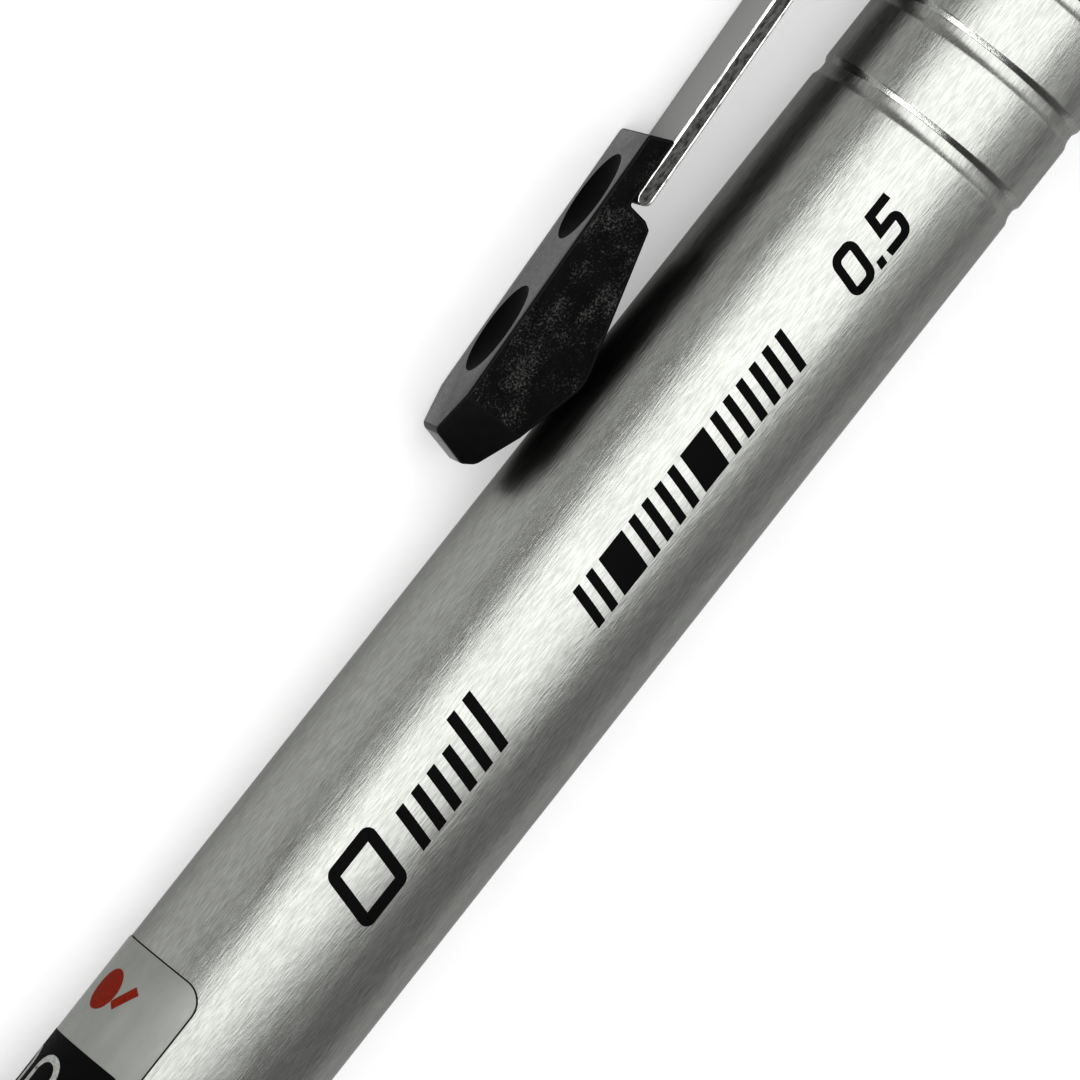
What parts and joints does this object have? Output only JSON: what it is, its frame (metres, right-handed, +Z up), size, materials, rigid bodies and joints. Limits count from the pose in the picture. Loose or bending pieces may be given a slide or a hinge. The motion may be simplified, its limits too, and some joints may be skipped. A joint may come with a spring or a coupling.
{
  "type": "lead holder, automatic mechanical pencil",
  "caption": "Slim steel lead holder for fine leads with ribbed grip, spring-steel pocket clip ending in a dimpled moulded shoe, and a push button that feeds the lead",
  "frame": {"origin": "on the pencil's axis at the rear end of the plain steel band behind the grip", "axes": "+X along the pencil to the push button, so the writing tip is at -X; +Z up, with the pencil lying on a table at z = -5 mm, rolled until a corner of the clip shoe also touches; +Y the side the clip is on"},
  "size_m": [0.1454, 0.0148, 0.01],
  "materials": {
    "barrel_steel": "satin, brushed along the barrel",
    "bright_steel": "bright plated steel",
    "clip_steel": "blasted outer face with bright sheared edges",
    "spring_steel": "drawn spring wire and small hard steel pieces",
    "brass": "turned brass",
    "black_plastic": "moulded, fine matt texture",
    "inner_plastic": "plain moulded surface",
    "tube_plastic": "clear to milky extruded tube",
    "grip_rubber": "matt black ribbed sleeve",
    "small_rubber": "soft black rubber",
    "eraser": "white vinyl eraser",
    "graphite": "polymer-bonded graphite lead",
    "label_film": "printed clear film"
  },
  "bodies": {
    "root": {"barrel_tube": "barrel_steel", "barrel_label": "label_film", "grip_core": "black_plastic", "grip_sleeve": "grip_rubber", "trim_ring": "barrel_steel", "clutch_housing": "brass", "rear_bush": "inner_plastic", "clip_ring": "clip_steel", "end_collar": "bright_steel", "main_spring": "spring_steel"},
    "nose": {"nose_cone": "barrel_steel", "nose_insert": "brass", "slider_spring": "spring_steel"},
    "tip": {"tip_slider": "brass", "guide_sleeve": "spring_steel", "lead_retainer": "small_rubber"},
    "feed": {"chuck_holder": "brass", "lead_tube": "tube_plastic", "spare_leads": "graphite", "eraser_holder": "inner_plastic", "eraser": "eraser", "cleaning_pin": "spring_steel"},
    "clutch": {"clutch_ring": "brass"},
    "jaw_upper": {"clutch_jaw_upper": "brass", "clutch_ball_upper": "spring_steel"},
    "jaw_lower": {"clutch_jaw_lower": "brass", "clutch_ball_lower": "spring_steel"},
    "lead": {"writing_lead": "graphite"},
    "cap": {"push_button": "bright_steel", "button_liner": "inner_plastic"},
    "clip": {"clip_strap": "clip_steel", "clip_shoe": "black_plastic"}
  },
  "joints": [
    {"name": "button_push", "type": "slide", "parent": "root", "child": "feed", "axis": [-1, 0, 0], "range_m": [0, 0.004], "stiffness_N_per_m": 600, "springref_m": -0.003, "deforming": ["main_spring"]},
    {"name": "clutch_ring_slide", "type": "slide", "parent": "root", "child": "clutch", "axis": [-1, 0, 0], "range_m": [0, 0.0015]},
    {"name": "jaw_upper_open", "type": "hinge", "parent": "feed", "child": "jaw_upper", "pos_m": [-0.012, 0, 0], "axis": [0, 1, 0], "range_deg": [0, 0.9]},
    {"name": "jaw_lower_open", "type": "hinge", "parent": "feed", "child": "jaw_lower", "pos_m": [-0.012, 0, 0], "axis": [0, -1, 0], "range_deg": [0, 0.9]},
    {"name": "lead_feed", "type": "slide", "parent": "feed", "child": "lead", "axis": [-1, 0, 0], "range_m": [0, 0.03]},
    {"name": "cap_pull", "type": "slide", "parent": "feed", "child": "cap", "axis": [1, 0, 0], "range_m": [0, 0.012]},
    {"name": "nose_off", "type": "slide", "parent": "root", "child": "nose", "axis": [-1, 0, 0], "range_m": [0, 0.03]},
    {"name": "tip_retract", "type": "slide", "parent": "nose", "child": "tip", "axis": [1, 0, 0], "range_m": [0, 0.0025], "stiffness_N_per_m": 60, "springref_m": -0.002, "deforming": ["slider_spring"]},
    {"name": "clip_flex", "type": "hinge", "parent": "root", "child": "clip", "pos_m": [0.079, 0.00879, -0.00235], "axis": [0, -0.2588, -0.9659], "range_deg": [0, 5], "stiffness_Nm_per_rad": 2.6, "springref_deg": -1}
  ],
  "couplings": [
    {"joint": "clutch_ring_slide", "follows": "button_push", "ratio": 0.35},
    {"joint": "jaw_upper_open", "follows": "button_push", "rad_per_m": 3.2725},
    {"joint": "jaw_lower_open", "follows": "button_push", "rad_per_m": 3.2725}
  ]
}
